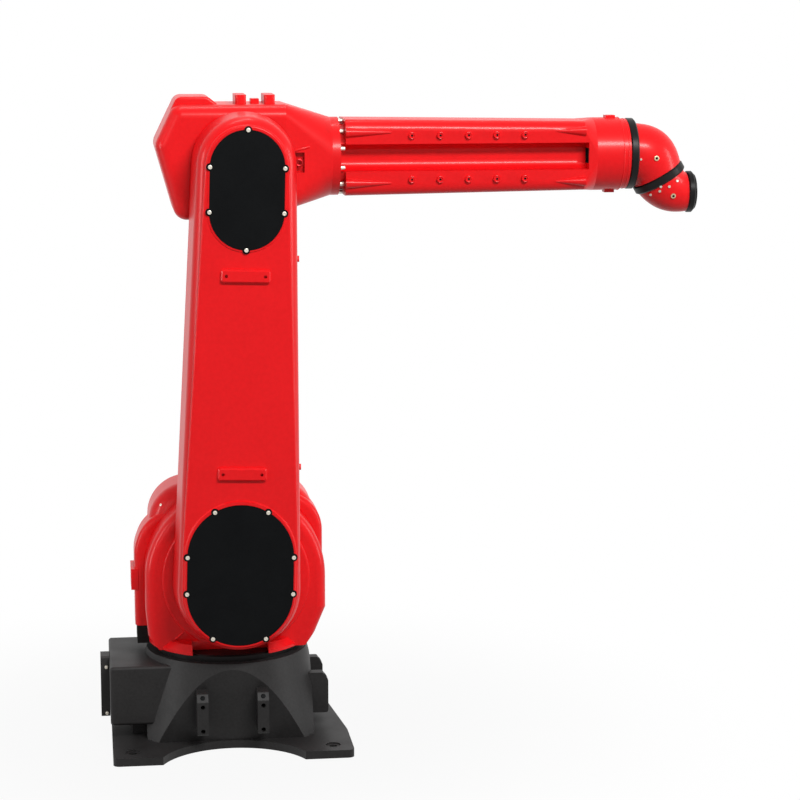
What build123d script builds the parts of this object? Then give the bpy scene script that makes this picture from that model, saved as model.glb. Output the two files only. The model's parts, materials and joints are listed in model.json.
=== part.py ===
from build123d import *
import math
import os

# Six-axis painting robot on a cast floor pedestal, in the pose of the photograph.
# +X is the way the forearm points, +Z is up, and the lower arm stands on the -Y side.
# The origin lies on the floor, on the axis that the whole arm swivels about.
# All lengths are millimetres and all angles degrees.

# Fits and overruns shared by all pieces
RUN_GAP = 0.5
CUT_OVERRUN = 20.0

# Floor plate of the pedestal, which narrows towards the far side
PLATE_WIDTH = 532.0
PLATE_FAR_INSET = 40.0
PLATE_THICKNESS = 18.0
PLATE_STRAIGHT = 156.0
PLATE_CORNER_RADIUS = 14.0
PLATE_BEND_RADIUS = 150.0
PLATE_ARCH_SPAN = 314.0
FLOOR_BOLT_EDGE = 44.0
FLOOR_BOLT_HOLE_RADIUS = 9.0
FLOOR_BOLT_SPOT_RADIUS = 17.0
FLOOR_BOLT_SPOT_DEPTH = 3.0

# Conical pedestal with four flat flanks
PEDESTAL_HEIGHT = 200.0
PEDESTAL_TOP_RADIUS = 183.0
PEDESTAL_FOOT_RADIUS = 228.0
PEDESTAL_FLANK_DISTANCE = 188.0
PEDESTAL_FLANK_FOOT = 159.0
PEDESTAL_FLANK_INSET = 4.0

# Threaded bracket pads on the flanks, with a sloping head
FLANK_PAD_WIDTH = 25.0
FLANK_PAD_BOTTOM = 50.0
FLANK_PAD_SHOULDER = 126.0
FLANK_PAD_TOP = 144.0
FLANK_PAD_PROUD = 38.0
FLANK_PAD_HEAD_PROUD = 26.0
FLANK_PAD_EDGE_RADIUS = 6.0
FLANK_PAD_SPACING = 134.0
FLANK_HOLE_RADIUS = 5.0
FLANK_HOLE_DEPTH = 24.0
FLANK_HOLE_LOW = 60.0
FLANK_HOLE_SPACING = 55.0

# Connector box cast on the back of the pedestal, and the plug connector on its end
BOX_OVERHANG = 3.0
BOX_WIDTH = 266.0
BOX_BOTTOM = 52.0
BOX_TOP = 187.0
BOX_EDGE_RADIUS = 7.0
BOX_STAND_WIDTH = 150.0
BOX_STAND_INSET = 49.0
SHELL_WIDTH = 50.0
SHELL_HEIGHT = 141.0
SHELL_DEPTH = 20.0
SHELL_WALL = 5.0
SHELL_FLOOR = 5.0
SHELL_CORNER_RADIUS = 5.0
SHELL_RISE = 113.5
INSERT_WIDTH = 30.0
INSERT_HEIGHT = 112.0
INSERT_DEPTH = 9.0

# Swivel bearing and swivel casting
BEARING_HEIGHT = 15.0
BEARING_RADIUS = 163.0
SHOULDER_X = 17.0
SHOULDER_Z = 375.0
SWIVEL_FLANGE_RADIUS = 178.0
SWIVEL_FLANGE_THICKNESS = 20.0
SWIVEL_FLANGE_BEVEL = 14.0
SWIVEL_FACE_DISTANCE = 98.0
FRONT_DRUM_RADIUS = 203.0
FRONT_DRUM_BACK = 10.0
FRONT_DRUM_SHOULDER = 300.0
FRONT_FOOT_X = 8.0
FRONT_FOOT_WIDTH = 378.0
FRONT_FOOT_TOP = 246.0
FRONT_SOLE_WIDTH = 330.0
MIDDLE_BODY_BACK = 70.0
MIDDLE_LEFT_MARGIN = 34.0
MIDDLE_RIGHT_MARGIN = 13.0
MIDDLE_BODY_BOTTOM = 268.0
MIDDLE_BODY_TOP = 560.0
LEFT_CORNER_RISE = 430.0
LEFT_SLOPE_TOP = 486.0
LEFT_SLOPE_INSET = 20.0
LEFT_CROWN_X = 60.0
RIGHT_CORNER_RISE = 512.0
RIGHT_CROWN_INSET = 81.0
MIDDLE_CORNER_RADIUS = 90.0
MIDDLE_EDGE_RADIUS = 14.0
REAR_BODY_WIDTH = 382.0
REAR_BODY_TOP = 573.0
REAR_BODY_BACK = 150.0
REAR_CORNER_RADIUS = 92.0
REAR_NEAR_EDGE_RADIUS = 45.0
SWIVEL_EDGE_RADIUS = 22.0
REDUCER_BOSS_RADIUS = 166.0
REDUCER_BOSS_PROUD = 8.0
REDUCER_BOSS_EDGE_RADIUS = 5.0
REDUCER_RADIUS = 126.0
REDUCER_THICKNESS = 5.5
SWIVEL_NOTCH_WIDTH = 170.0
LUG_PROUD = 8.0
LUG_BOTTOM = 334.0
LUG_HEIGHT = 48.0
LUG_WIDTH = 90.0
STOP_SEAT = 250.0
STOP_SEAT_OVERLAP = 22.0
STOP_BLOCK_REACH = 26.0
STOP_BLOCK_WIDTH = 90.0
STOP_BLOCK_HEIGHT = 41.0

# Lower arm, built upright from the shoulder axis and leaning a little forward
ARM_LENGTH = 931.0
ARM_LEAN = 1.6
ARM_SHOULDER_RADIUS = 143.0
ARM_ELBOW_RADIUS = 115.0
ARM_THICKNESS = 125.0
ARM_DRAFT = 4.5
ARM_NEAR_EDGE_RADIUS = 34.0
ARM_FAR_EDGE_RADIUS = 12.0
COVER_THICKNESS = 4.0
COVER_BOSS_PROUD = 4.0
COVER_BOSS_MARGIN = 11.0
PANEL_EDGE_RADIUS = 6.0
SHOULDER_COVER_RADIUS = 116.0
SHOULDER_COVER_RISE = 82.0
ELBOW_COVER_RADIUS = 80.0
ELBOW_COVER_DROP = 96.0
COVER_EAR_RADIUS = 8.5
COVER_SCREW_ANGLE = 30.0
BRACKET_PAD_WIDTH = 106.0
BRACKET_PAD_HEIGHT = 28.0
BRACKET_PAD_PROUD = 14.0
BRACKET_PAD_RADIUS = 6.0
LOWER_BRACKET_RISE = 267.0
UPPER_BRACKET_DROP = 232.0
BRACKET_HOLE_SPACING = 84.0
BRACKET_HOLE_RADIUS = 3.5
BRACKET_HOLE_DEPTH = 12.0

# Elbow casting, measured from the elbow axis
ELBOW_TOP = 126.5
ELBOW_BOTTOM = 125.0
ELBOW_REAR = 192.0
ELBOW_REAR_SLOPE_TOP = 150.0
ELBOW_REAR_BOTTOM = 146.0
ELBOW_REAR_RISE = 40.0
ELBOW_FRONT = 95.0
ELBOW_BELLY_FRONT = 20.0
ELBOW_FRONT_BOTTOM = 106.0
ELBOW_FAR_DISTANCE = 122.0
ELBOW_EDGE_RADIUS = 30.0
ELBOW_RIM_RADIUS = 28.0
ELBOW_FLANGE_REACH = 206.5
ELBOW_FLANGE_RADIUS = 87.0
ELBOW_FLANGE_THICKNESS = 8.0
ELBOW_REDUCER_RADIUS = 98.0
RIDGE_FRONT = 52.0
RIDGE_SLOPE = 22.0
RIDGE_HEIGHT = 17.0
RIDGE_NEAR = 62.0
RIDGE_EDGE_RADIUS = 20.0
RIDGE_RIM_RADIUS = 6.0
RIDGE_FAR = 92.0
RAIL_WIDTH = 24.0
RAIL_HEIGHT = 20.0
RAIL_LENGTH = 110.0
RAIL_PLACES = (-1.0, 62.5)
RAIL_END_RADIUS = 9.0
PORT_BLOCK_WIDTH = 18.0
PORT_BLOCK_HEIGHT = 11.0
PORT_BLOCK_LENGTH = 40.0
POCKET_X = 123.0
POCKET_RISE = 0.0
POCKET_WIDTH = 24.0
POCKET_HEIGHT = 44.0
POCKET_DEPTH = 20.0
PORT_RADIUS = 6.5
PORT_BORE_RADIUS = 4.0

# Forearm casting, measured along the forearm axis from the elbow axis
FOREARM_RISE = 8.0
FOREARM_FLANGE_THICKNESS = 10.0
FOREARM_NECK_RADIUS = 76.0
FOREARM_NECK_LENGTH = 11.0
FOREARM_ROOT_HEIGHT = 169.0
FOREARM_ROOT_WIDTH = 164.0
FOREARM_TIP_HEIGHT = 154.0
FOREARM_TIP_WIDTH = 158.0
FOREARM_CORNER_RADIUS = 24.0
FOREARM_TIP = 766.0
COLLAR_START = 794.0
COLLAR_END = 854.5
COLLAR_RADIUS = 82.0
GROOVE_WIDTH = 60.0
GROOVE_DEPTH = 40.0
GROOVE_ROOT_RADIUS = 22.0
GROOVE_END = 774.0
HOSE_PASS_WIDTH = 32.0
HOSE_PASS_HEIGHT = 34.0
HOSE_PASS_DEPTH = 60.0
GUSSET_OFFSET = 56.0
GUSSET_RADIUS = 11.0
GUSSET_TIP_RADIUS = 2.0
ROOT_GUSSET_LENGTH = 101.0
TIP_GUSSET_LENGTH = 66.0
BOSS_START = 374.0
BOSS_PITCH = 63.5
BOSS_COUNT = 5
BOSS_OFFSET = 48.5
BOSS_RADIUS = 7.5
BOSS_PROUD = 5.0
BOSS_HOLE_RADIUS = 2.5
BOSS_HOLE_DEPTH = 10.0
COLLAR_LUG_LENGTH = 22.0
COLLAR_LUG_WIDTH = 26.0
COLLAR_LUG_PROUD = 5.0
WRIST_SEAT_LENGTH = 17.0
WRIST_SEAT_RADIUS = 79.0

# Hollow wrist with two oblique elbows, measured along the forearm axis from the elbow axis
ROLL_RING_LENGTH = 18.0
ROLL_RING_RADIUS = 80.0
ROLL_BODY_RADIUS = 68.0
ROLL_BODY_BULGE = 8.0
OBLIQUE_ANGLE = 60.0
BEND_RING_THICKNESS = 20.0
BEND_RING_RADIUS = 62.5
BEND_RING_FORWARD = 952.0
BEND_RING_DROP = 54.5
ROLL_BODY_END_RADIUS = 60.5
BEND_BODY_RADIUS = 57.5
BEND_BODY_END_RADIUS = 44.5
TOOL_AXIS_DROP = 88.0
TOOL_RING_START = 1014.5
TOOL_RING_LENGTH = 15.0
TOOL_RING_RADIUS = 47.0
TOOL_FACE_RADIUS = 40.0
TOOL_FLANGE_LENGTH = 19.0
TOOL_BORE_RADIUS = 20.0
TOOL_BOLT_CIRCLE = 60.0
TOOL_BOLT_COUNT = 6
TOOL_BOLT_RADIUS = 3.0
HOSE_WAY_RADIUS = 24.0
HOSE_WAY_DEPTH = 26.0
ELBOW_LOFT_STEPS = 2
RING_CHAMFER = 3.0

# Drive motors on the far side, one on the shoulder axis and one on the elbow axis
SHOULDER_MOTOR_SIZE = 130.0
SHOULDER_MOTOR_LENGTH = 150.0
ELBOW_MOTOR_SIZE = 100.0
ELBOW_MOTOR_LENGTH = 105.0
MOTOR_FLANGE_THICKNESS = 16.0
MOTOR_FLANGE_MARGIN = 9.0
MOTOR_CORNER_RADIUS = 16.0
MOTOR_CAP_LENGTH = 34.0
MOTOR_CAP_MARGIN = 7.0
MOTOR_PLUG_SIZE = 34.0
MOTOR_PLUG_HEIGHT = 26.0

# Planes and axes that several pieces share
BOX_BACK = PLATE_WIDTH / 2 + BOX_OVERHANG
BOX_STAND_BACK = BOX_BACK - BOX_STAND_INSET
PLATE_ARCH_DEPTH = PLATE_WIDTH / 2 - PEDESTAL_FLANK_FOOT - PEDESTAL_FLANK_INSET
SWIVEL_BOTTOM = PEDESTAL_HEIGHT + BEARING_HEIGHT
MIDDLE_BODY_LEFT = REAR_BODY_WIDTH / 2 - SHOULDER_X + MIDDLE_LEFT_MARGIN
MIDDLE_BODY_RIGHT = REAR_BODY_WIDTH / 2 + SHOULDER_X + MIDDLE_RIGHT_MARGIN
STOP_SEAT_FRONT = SWIVEL_FLANGE_RADIUS - STOP_SEAT_OVERLAP
REDUCER_FACE_Y = -(SWIVEL_FACE_DISTANCE + REDUCER_BOSS_PROUD + REDUCER_THICKNESS)
ARM_FAR_Y = REDUCER_FACE_Y - RUN_GAP
ARM_NEAR_Y = ARM_FAR_Y - ARM_THICKNESS
COVER_SEAT_Y = ARM_NEAR_Y - COVER_BOSS_PROUD
ELBOW_X = SHOULDER_X + ARM_LENGTH * math.sin(math.radians(ARM_LEAN))
ELBOW_Z = SHOULDER_Z + ARM_LENGTH * math.cos(math.radians(ARM_LEAN))
ARM_POSE = Pos(SHOULDER_X, 0, SHOULDER_Z) * Rot(0, ARM_LEAN, 0)
ELBOW_POSE = Pos(ELBOW_X, 0, ELBOW_Z)
FOREARM_POSE = Pos(ELBOW_X, 0, ELBOW_Z + FOREARM_RISE)
BOSS_FACE = FOREARM_ROOT_WIDTH / 2 + BOSS_PROUD
FOREARM_ROOT = ELBOW_FLANGE_REACH + FOREARM_FLANGE_THICKNESS
BEAM_START = FOREARM_ROOT + FOREARM_NECK_LENGTH
ROLL_RING_START = COLLAR_END + WRIST_SEAT_LENGTH + RUN_GAP
ROLL_BODY_START = ROLL_RING_START + ROLL_RING_LENGTH


# Solids drawn along one axis of the robot

def prism_x(sketch, low, high):
    return extrude(Plane.YZ.offset(low) * sketch, high - low, dir=(1, 0, 0))


def prism_y(sketch, near, far):
    return extrude(Plane.XZ.offset(-far) * sketch, far - near, dir=(0, -1, 0))


def prism_z(sketch, low, high):
    return extrude(Plane.XY.offset(low) * sketch, high - low, dir=(0, 0, 1))


def disc_x(radius, low, high, y=0, z=0):
    return prism_x(Pos(y, z) * Circle(radius), low, high)


def disc_y(radius, near, far, x=0, z=0):
    return prism_y(Pos(x, z) * Circle(radius), near, far)


def disc_z(radius, low, high, x=0, y=0):
    return prism_z(Pos(x, y) * Circle(radius), low, high)


# Pedestal

def floor_plate():
    near = PLATE_WIDTH / 2
    far = near - PLATE_FAR_INSET
    bend = PLATE_STRAIGHT - near
    outline = Polygon(
        (-near, -near), (near, -near), (near, bend), (far, near), (-near, near), align=None
    )
    plate = prism_z(outline, 0, PLATE_THICKNESS)
    uprights = plate.edges().filter_by(Axis.Z)
    bends = [e for e in uprights if abs(e.center().Y - bend) < RUN_GAP]
    plate = fillet(bends, PLATE_BEND_RADIUS)
    corners = [e for e in plate.edges().filter_by(Axis.Z) if abs(e.center().Y) > near - RUN_GAP]
    plate = fillet(corners, PLATE_CORNER_RADIUS)
    arch_radius = ((PLATE_ARCH_SPAN / 2) ** 2 + PLATE_ARCH_DEPTH**2) / (2 * PLATE_ARCH_DEPTH)
    arch_y = near + arch_radius - PLATE_ARCH_DEPTH
    bolt_y = near - FLOOR_BOLT_EDGE
    for side, half in ((-1, near), (1, far)):
        plate -= disc_z(arch_radius, -CUT_OVERRUN, PLATE_THICKNESS + CUT_OVERRUN, 0, side * arch_y)
        for x in (FLOOR_BOLT_EDGE - half, half - FLOOR_BOLT_EDGE):
            plate -= floor_bolt_hole(x, side * bolt_y)
    return plate


def floor_bolt_hole(x, y):
    top = PLATE_THICKNESS + CUT_OVERRUN
    spot = disc_z(FLOOR_BOLT_SPOT_RADIUS, PLATE_THICKNESS - FLOOR_BOLT_SPOT_DEPTH, top, x, y)
    return spot + disc_z(FLOOR_BOLT_HOLE_RADIUS, -CUT_OVERRUN, top, x, y)


def pedestal_cone():
    height = PEDESTAL_HEIGHT - PLATE_THICKNESS
    cone = Pos(0, 0, PLATE_THICKNESS + height / 2) * Cone(
        PEDESTAL_FOOT_RADIUS, PEDESTAL_TOP_RADIUS, height
    )
    # The front and back are cut upright, and the near and far flanks lean out from the plate's arches.
    width = 2 * PEDESTAL_FLANK_DISTANCE
    cone &= prism_z(Rectangle(width, 2 * PEDESTAL_FOOT_RADIUS), 0, PEDESTAL_HEIGHT)
    leaning = Polygon(
        (-PEDESTAL_FLANK_FOOT, PLATE_THICKNESS),
        (PEDESTAL_FLANK_FOOT, PLATE_THICKNESS),
        (PEDESTAL_FLANK_DISTANCE, PEDESTAL_HEIGHT),
        (-PEDESTAL_FLANK_DISTANCE, PEDESTAL_HEIGHT),
        align=None,
    )
    return cone & prism_x(leaning, -PEDESTAL_FOOT_RADIUS, PEDESTAL_FOOT_RADIUS)


def flank_pads():
    face = PEDESTAL_FLANK_DISTANCE + FLANK_PAD_PROUD
    head = PEDESTAL_FLANK_DISTANCE + FLANK_PAD_HEAD_PROUD
    root = PEDESTAL_FLANK_FOOT
    profile = Polygon(
        (-root, FLANK_PAD_BOTTOM),
        (-face, FLANK_PAD_BOTTOM),
        (-face, FLANK_PAD_SHOULDER),
        (-head, FLANK_PAD_TOP),
        (-root, FLANK_PAD_TOP),
        align=None,
    )
    pads = []
    for x in (-FLANK_PAD_SPACING / 2, FLANK_PAD_SPACING / 2):
        pad = prism_x(profile, x - FLANK_PAD_WIDTH / 2, x + FLANK_PAD_WIDTH / 2)
        bends = [e for e in pad.edges().filter_by(Axis.X) if e.center().Y < -root - RUN_GAP]
        pads.append(fillet(bends, FLANK_PAD_EDGE_RADIUS))
    return pads


def flank_holes():
    face = PEDESTAL_FLANK_DISTANCE + FLANK_PAD_PROUD
    holes = []
    for x in (-FLANK_PAD_SPACING / 2, FLANK_PAD_SPACING / 2):
        for rise in (0, FLANK_HOLE_SPACING):
            near = -face - CUT_OVERRUN
            holes.append(
                disc_y(FLANK_HOLE_RADIUS, near, FLANK_HOLE_DEPTH - face, x, FLANK_HOLE_LOW + rise)
            )
    return holes


def connector_box():
    box = prism_z(Pos(-BOX_BACK / 2, 0) * Rectangle(BOX_BACK, BOX_WIDTH), BOX_BOTTOM, BOX_TOP)
    outer = [e for e in box.edges() if e.center().X < -BOX_BACK / 2 + RUN_GAP]
    box = fillet(outer, BOX_EDGE_RADIUS)
    stand = prism_z(
        Pos(-BOX_STAND_BACK / 2, 0) * Rectangle(BOX_STAND_BACK, BOX_STAND_WIDTH),
        PLATE_THICKNESS / 2,
        BOX_BOTTOM + BOX_EDGE_RADIUS,
    )
    return box + stand


def base_casting():
    casting = floor_plate() + pedestal_cone() + connector_box()
    for turn in (0, 90, 180):
        casting += [Rot(0, 0, turn) * pad for pad in flank_pads()]
    # The far pads stay undrilled.
    for turn in (0, 90):
        casting -= [Rot(0, 0, turn) * hole for hole in flank_holes()]
    return casting


def connector_shell():
    end = -BOX_BACK - SHELL_DEPTH
    rim = Pos(0, SHELL_RISE) * RectangleRounded(SHELL_WIDTH, SHELL_HEIGHT, SHELL_CORNER_RADIUS)
    hollow = Pos(0, SHELL_RISE) * Rectangle(SHELL_WIDTH - 2 * SHELL_WALL, SHELL_HEIGHT - 2 * SHELL_WALL)
    return prism_x(rim, end, -BOX_BACK) - prism_x(hollow, end - CUT_OVERRUN, -BOX_BACK - SHELL_FLOOR)


def connector_insert():
    seat = -BOX_BACK - SHELL_FLOOR
    return prism_x(Pos(0, SHELL_RISE) * Rectangle(INSERT_WIDTH, INSERT_HEIGHT), seat - INSERT_DEPTH, seat)


# Swivel

def swivel_bearing():
    ring = disc_z(BEARING_RADIUS, PEDESTAL_HEIGHT, SWIVEL_BOTTOM - RUN_GAP)
    return chamfer(ring.edges().group_by(Axis.Z)[-1], RING_CHAMFER)


def drum_outline(x, radius, sides):
    """Round top about the shoulder axis, standing on the sides given from left to right."""
    left = (x - radius, SHOULDER_Z)
    right = (x + radius, SHOULDER_Z)
    crown = ThreePointArc(left, (x, SHOULDER_Z + radius), right)
    return make_face([crown, Polyline(left, *sides, right)])


def front_drum_outline():
    sides = [
        (SHOULDER_X - FRONT_DRUM_RADIUS, FRONT_DRUM_SHOULDER),
        (FRONT_FOOT_X - FRONT_FOOT_WIDTH / 2, FRONT_FOOT_TOP),
        (FRONT_FOOT_X - FRONT_SOLE_WIDTH / 2, SWIVEL_BOTTOM),
        (FRONT_FOOT_X + FRONT_SOLE_WIDTH / 2, SWIVEL_BOTTOM),
        (FRONT_FOOT_X + FRONT_FOOT_WIDTH / 2, FRONT_FOOT_TOP),
        (SHOULDER_X + FRONT_DRUM_RADIUS, FRONT_DRUM_SHOULDER),
    ]
    return drum_outline(SHOULDER_X, FRONT_DRUM_RADIUS, sides)


def front_drum():
    drum = prism_y(front_drum_outline(), -SWIVEL_FACE_DISTANCE, -FRONT_DRUM_BACK)
    near_face = drum.faces().sort_by(Axis.Y)[0]
    return fillet([e for e in near_face.edges() if e.center().Z > FRONT_FOOT_TOP], SWIVEL_EDGE_RADIUS)


def middle_body():
    outline = Polygon(
        (-MIDDLE_BODY_LEFT, STOP_SEAT),
        (-STOP_SEAT_FRONT, STOP_SEAT),
        (-STOP_SEAT_FRONT, MIDDLE_BODY_BOTTOM),
        (MIDDLE_BODY_RIGHT, MIDDLE_BODY_BOTTOM),
        (MIDDLE_BODY_RIGHT, RIGHT_CORNER_RISE),
        (MIDDLE_BODY_RIGHT - RIGHT_CROWN_INSET, MIDDLE_BODY_TOP),
        (-LEFT_CROWN_X, MIDDLE_BODY_TOP),
        (LEFT_SLOPE_INSET - MIDDLE_BODY_LEFT, LEFT_SLOPE_TOP),
        (-MIDDLE_BODY_LEFT, LEFT_CORNER_RISE),
        align=None,
    )
    body = prism_y(outline, -FRONT_DRUM_BACK, MIDDLE_BODY_BACK)
    corners = [e for e in body.edges().filter_by(Axis.Y) if e.center().Z > SHOULDER_Z]
    body = fillet(corners, MIDDLE_CORNER_RADIUS)
    near_face = body.faces().sort_by(Axis.Y)[0]
    return fillet([e for e in near_face.edges() if e.center().Z > SHOULDER_Z], MIDDLE_EDGE_RADIUS)


def rear_body():
    outline = Pos(SHOULDER_X, (REAR_BODY_TOP + MIDDLE_BODY_BOTTOM) / 2) * Rectangle(
        REAR_BODY_WIDTH, REAR_BODY_TOP - MIDDLE_BODY_BOTTOM
    )
    body = prism_y(outline, -FRONT_DRUM_BACK, REAR_BODY_BACK)
    crown = [e for e in body.edges().filter_by(Axis.Y) if e.center().Z > SHOULDER_Z]
    body = fillet(crown, REAR_CORNER_RADIUS)
    for end, radius in ((0, REAR_NEAR_EDGE_RADIUS), (-1, SWIVEL_EDGE_RADIUS)):
        face = body.faces().sort_by(Axis.Y)[end]
        rim = [e for e in face.edges() if e.center().Z > MIDDLE_BODY_BOTTOM + RUN_GAP]
        body = fillet(rim, radius)
    return body


def swivel_foot():
    """Round flange, notched under the lower arm, and the neck behind it."""
    flange_top = SWIVEL_BOTTOM + SWIVEL_FLANGE_THICKNESS
    flange = disc_z(SWIVEL_FLANGE_RADIUS, SWIVEL_BOTTOM, flange_top)
    flange = chamfer(flange.edges().group_by(Axis.Z)[-1], SWIVEL_FLANGE_BEVEL)
    notch_y = -(SWIVEL_FACE_DISTANCE + REDUCER_BOSS_PROUD)
    notch = Rectangle(SWIVEL_NOTCH_WIDTH, PLATE_WIDTH)
    notch = Pos(0, notch_y - PLATE_WIDTH / 2) * notch
    flange -= prism_z(notch, SWIVEL_BOTTOM - CUT_OVERRUN, flange_top + CUT_OVERRUN)
    neck = disc_z(SWIVEL_FLANGE_RADIUS, SWIVEL_BOTTOM, MIDDLE_BODY_BOTTOM + CUT_OVERRUN)
    back_half = Pos(0, PLATE_WIDTH / 2 - FRONT_DRUM_BACK) * Rectangle(PLATE_WIDTH, PLATE_WIDTH)
    return flange + (neck & prism_z(back_half, SWIVEL_BOTTOM, SHOULDER_Z))


def swivel_casting():
    notch_y = -(SWIVEL_FACE_DISTANCE + REDUCER_BOSS_PROUD)
    boss = disc_y(REDUCER_BOSS_RADIUS, notch_y, -FRONT_DRUM_BACK, SHOULDER_X, SHOULDER_Z)
    boss = fillet(boss.edges().group_by(Axis.Y)[0], REDUCER_BOSS_EDGE_RADIUS)
    boss &= prism_z(Rectangle(PLATE_WIDTH, PLATE_WIDTH), SWIVEL_BOTTOM, 2 * SHOULDER_Z)
    lug = prism_y(
        Pos(-MIDDLE_BODY_LEFT, LUG_BOTTOM + LUG_HEIGHT / 2) * Rectangle(2 * LUG_PROUD, LUG_HEIGHT),
        -FRONT_DRUM_BACK,
        LUG_WIDTH - FRONT_DRUM_BACK,
    )
    return front_drum() + middle_body() + rear_body() + swivel_foot() + boss + lug


def stop_block():
    length = STOP_BLOCK_REACH + STOP_SEAT_OVERLAP
    x = -STOP_SEAT_FRONT - length / 2
    outline = Pos(x, MIDDLE_BODY_BACK / 2) * Rectangle(length, STOP_BLOCK_WIDTH)
    block = prism_z(outline, STOP_SEAT - STOP_BLOCK_HEIGHT, STOP_SEAT)
    return block - disc_z(SWIVEL_FLANGE_RADIUS, 0, STOP_SEAT + CUT_OVERRUN)


def shoulder_reducer():
    boss_y = -(SWIVEL_FACE_DISTANCE + REDUCER_BOSS_PROUD)
    return disc_y(REDUCER_RADIUS, REDUCER_FACE_Y, boss_y, SHOULDER_X, SHOULDER_Z)


def motor(size, length, seat_y, x, z):
    flange_size = size + 2 * MOTOR_FLANGE_MARGIN
    cap_size = size - 2 * MOTOR_CAP_MARGIN
    flange_y = seat_y + MOTOR_FLANGE_THICKNESS
    cap_y = seat_y + length - MOTOR_CAP_LENGTH
    flange = Pos(x, z) * RectangleRounded(flange_size, flange_size, MOTOR_CORNER_RADIUS)
    body = Pos(x, z) * RectangleRounded(size, size, MOTOR_CORNER_RADIUS)
    cap = Pos(x, z) * RectangleRounded(cap_size, cap_size, MOTOR_CORNER_RADIUS)
    plug = Pos(x, z + size / 2) * Rectangle(MOTOR_PLUG_SIZE, 2 * MOTOR_PLUG_HEIGHT)
    solid = prism_y(flange, seat_y, flange_y) + prism_y(body, flange_y, cap_y)
    solid += prism_y(cap, cap_y, seat_y + length)
    return solid + prism_y(plug, cap_y - MOTOR_PLUG_SIZE, cap_y)


# Lower arm

def arm_outline():
    slope = (ARM_SHOULDER_RADIUS - ARM_ELBOW_RADIUS) / ARM_LENGTH
    level = math.sqrt(1 - slope**2)
    low = (ARM_SHOULDER_RADIUS * level, ARM_SHOULDER_RADIUS * slope)
    high = (ARM_ELBOW_RADIUS * level, ARM_LENGTH + ARM_ELBOW_RADIUS * slope)
    low_back = (-low[0], low[1])
    high_back = (-high[0], high[1])
    return make_face(
        [
            Line(low, high),
            ThreePointArc(high, (0, ARM_LENGTH + ARM_ELBOW_RADIUS), high_back),
            Line(high_back, low_back),
            ThreePointArc(low_back, (0, -ARM_SHOULDER_RADIUS), low),
        ]
    )


def panel_outline():
    """Raised panel that carries both covers, as wide at each end as the cover and its margin."""
    low = SHOULDER_COVER_RADIUS + COVER_BOSS_MARGIN
    high = ELBOW_COVER_RADIUS + COVER_BOSS_MARGIN
    turn = math.asin((low - high) / (ARM_LENGTH - SHOULDER_COVER_RISE))
    points = [(low, 0), (low, SHOULDER_COVER_RISE)]
    for radius, rise, angle in (
        (low, SHOULDER_COVER_RISE, turn / 2), (low, SHOULDER_COVER_RISE, turn), (high, ARM_LENGTH, turn)
    ):
        points.append((radius * math.cos(angle), rise + radius * math.sin(angle)))
    back = [(-x, z) for x, z in points]
    return make_face(
        [
            Line(points[0], points[1]),
            ThreePointArc(*points[1:4]),
            Line(points[3], points[4]),
            ThreePointArc(points[4], (0, ARM_LENGTH + high), back[4]),
            Line(back[4], back[3]),
            ThreePointArc(back[3], back[2], back[1]),
            Line(back[1], back[0]),
            ThreePointArc(back[0], (0, -low), points[0]),
        ]
    )


def obround(radius, low, high):
    return Pos(0, (low + high) / 2) * SlotCenterToCenter(high - low, 2 * radius, rotation=90)


def bracket_pad(height):
    near = ARM_NEAR_Y - BRACKET_PAD_PROUD
    outline = RectangleRounded(BRACKET_PAD_WIDTH, BRACKET_PAD_HEIGHT, BRACKET_PAD_RADIUS)
    pad = prism_y(Pos(0, height) * outline, near, ARM_NEAR_Y + ARM_FAR_EDGE_RADIUS)
    rim = pad.faces().sort_by(Axis.Y)[0].edges()
    pad = chamfer(rim, RING_CHAMFER)
    for x in (-BRACKET_HOLE_SPACING / 2, BRACKET_HOLE_SPACING / 2):
        pad -= disc_y(BRACKET_HOLE_RADIUS, near - CUT_OVERRUN, near + BRACKET_HOLE_DEPTH, x, height)
    return pad


def lower_arm_casting():
    # The sides lean in towards the near face.
    outline = Plane.XZ.offset(-ARM_FAR_Y) * arm_outline()
    arm = extrude(outline, ARM_THICKNESS, dir=(0, -1, 0), taper=ARM_DRAFT)
    arm = fillet(arm.faces().sort_by(Axis.Y)[0].edges(), ARM_NEAR_EDGE_RADIUS)
    arm = fillet(arm.faces().sort_by(Axis.Y)[-1].edges(), ARM_FAR_EDGE_RADIUS)
    panel = prism_y(panel_outline(), COVER_SEAT_Y, ARM_NEAR_Y + ARM_NEAR_EDGE_RADIUS)
    arm += fillet(panel.faces().sort_by(Axis.Y)[0].edges(), PANEL_EDGE_RADIUS)
    for height in (LOWER_BRACKET_RISE, ARM_LENGTH - UPPER_BRACKET_DROP):
        arm += bracket_pad(height)
    return ARM_POSE * arm


def cover(radius, low, high, screws):
    outline = obround(radius, low, high)
    for x, z in screws:
        outline += Pos(x, z) * Circle(COVER_EAR_RADIUS)
    return ARM_POSE * prism_y(outline, COVER_SEAT_Y - COVER_THICKNESS, COVER_SEAT_Y)


def shoulder_cover():
    radius = SHOULDER_COVER_RADIUS
    turn = math.radians(COVER_SCREW_ANGLE)
    across = radius * math.sin(turn)
    along = radius * math.cos(turn)
    screws = []
    for side in (-1, 1):
        screws.append((side * radius, 0))
        screws.append((side * radius, SHOULDER_COVER_RISE))
        screws.append((side * across, -along))
        screws.append((side * across, SHOULDER_COVER_RISE + along))
    return cover(radius, 0, SHOULDER_COVER_RISE, screws)


def elbow_cover():
    radius = ELBOW_COVER_RADIUS
    low = ARM_LENGTH - ELBOW_COVER_DROP
    screws = [(0, low - radius), (0, ARM_LENGTH + radius)]
    for side in (-1, 1):
        screws.append((side * radius, low))
        screws.append((side * radius, ARM_LENGTH))
    return cover(radius, low, ARM_LENGTH, screws)


# Elbow casting and what is bolted to it

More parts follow.
